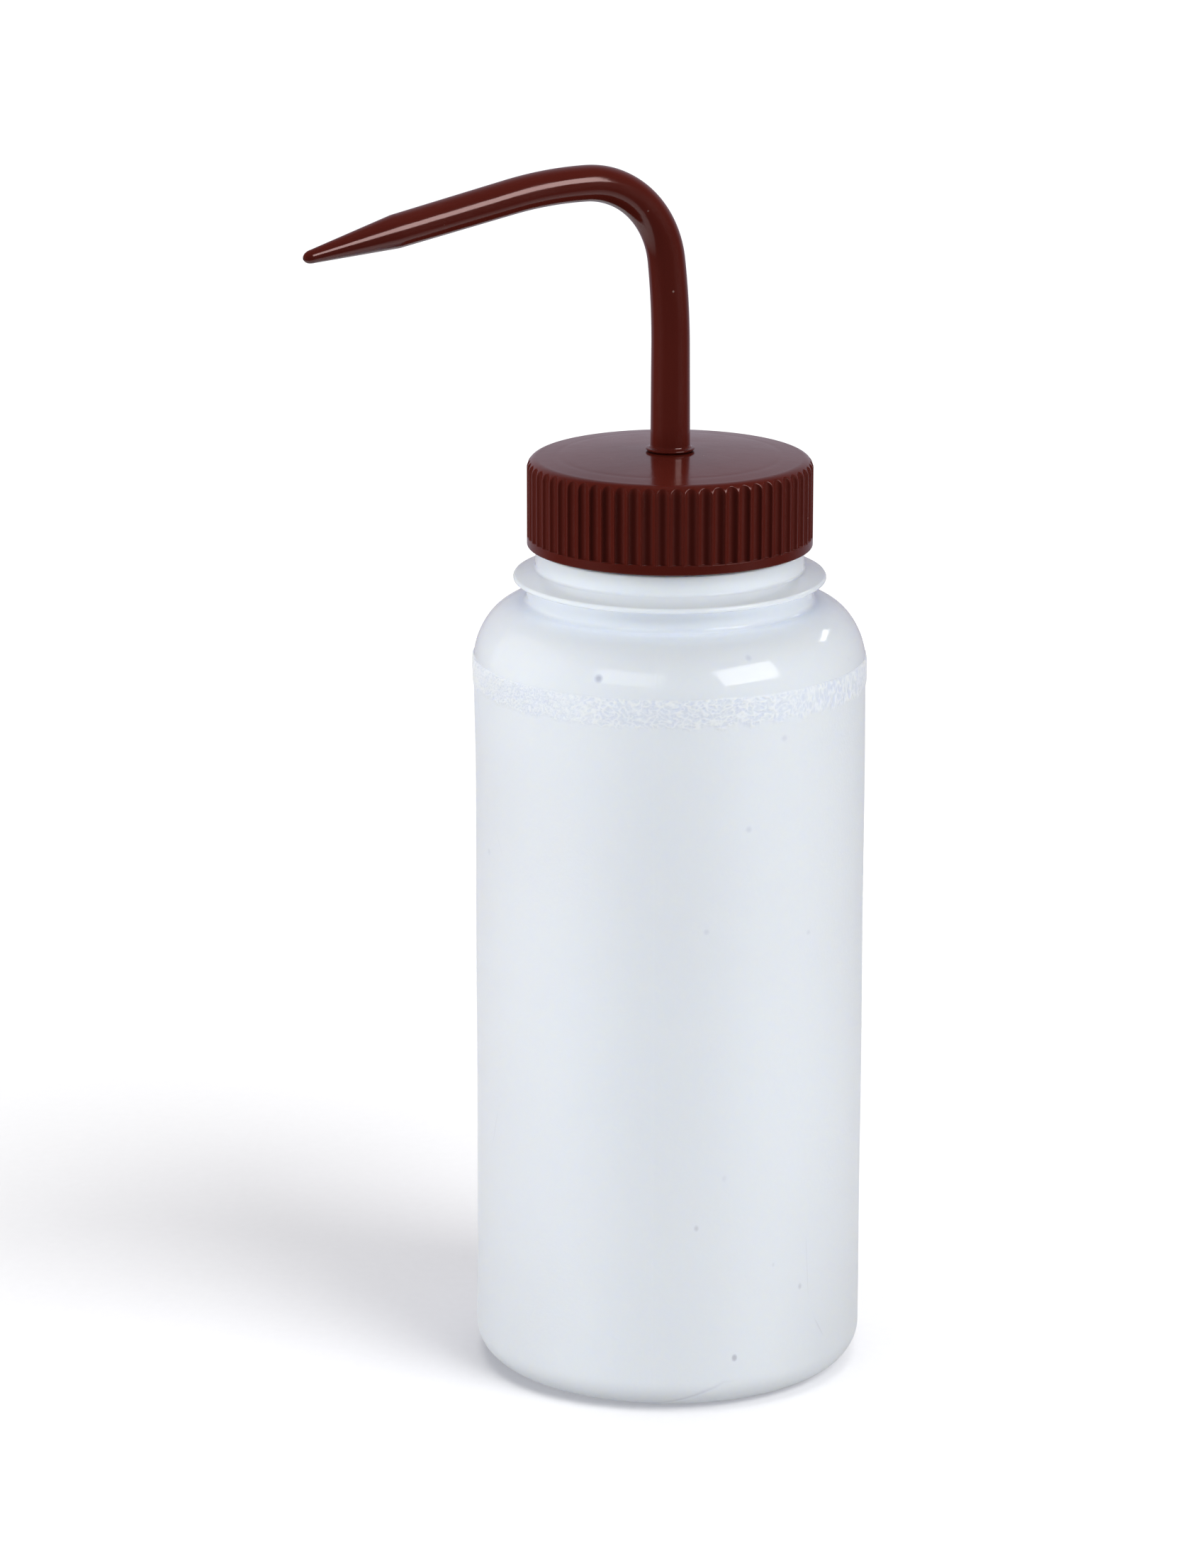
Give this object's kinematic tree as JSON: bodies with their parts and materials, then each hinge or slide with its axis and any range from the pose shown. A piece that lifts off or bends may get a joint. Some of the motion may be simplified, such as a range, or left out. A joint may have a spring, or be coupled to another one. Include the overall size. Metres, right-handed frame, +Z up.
{
  "type": "laboratory wash bottle",
  "caption": "Squeezable wide-mouth laboratory wash bottle with a fluted screw cap, a swivelling bent spout with a fine jet nozzle, and a dip tube.",
  "frame": {"origin": "centre of the standing ring under the bottle, in the plane the bottle stands on", "axes": "+Z up along the bottle's axis, spout's arm swung 32 degrees from -X towards -Y, +Y away from a viewer who sees the spout on the left"},
  "size_m": [0.1026, 0.0783, 0.2326],
  "materials": {
    "bottle_plastic": "milky translucent, matte body and glossy shoulder",
    "cap_plastic": "satin gloss",
    "spout_plastic": "gloss",
    "tube_plastic": "natural translucent"
  },
  "bodies": {
    "bottle": {"bottle": "bottle_plastic"},
    "dip_tube": {"dip_tube": "tube_plastic"},
    "cap": {"cap": "cap_plastic"},
    "spout": {"spout": "spout_plastic"}
  },
  "joints": [
    {"name": "closure_lift", "type": "slide", "parent": "bottle", "child": "dip_tube", "axis": [0, 0, 1], "range_m": [0, 0.0063]},
    {"name": "cap_turn", "type": "hinge", "parent": "dip_tube", "child": "cap", "pos_m": [0, 0, 0.168], "axis": [0, 0, 1], "range_deg": [0, 540]},
    {"name": "spout_swivel", "type": "hinge", "parent": "cap", "child": "spout", "pos_m": [0, 0, 0.175], "axis": [0, 0, 1], "continuous": true}
  ],
  "couplings": [
    {"joint": "closure_lift", "follows": "cap_turn", "m_per_rad": 0.00066845}
  ]
}
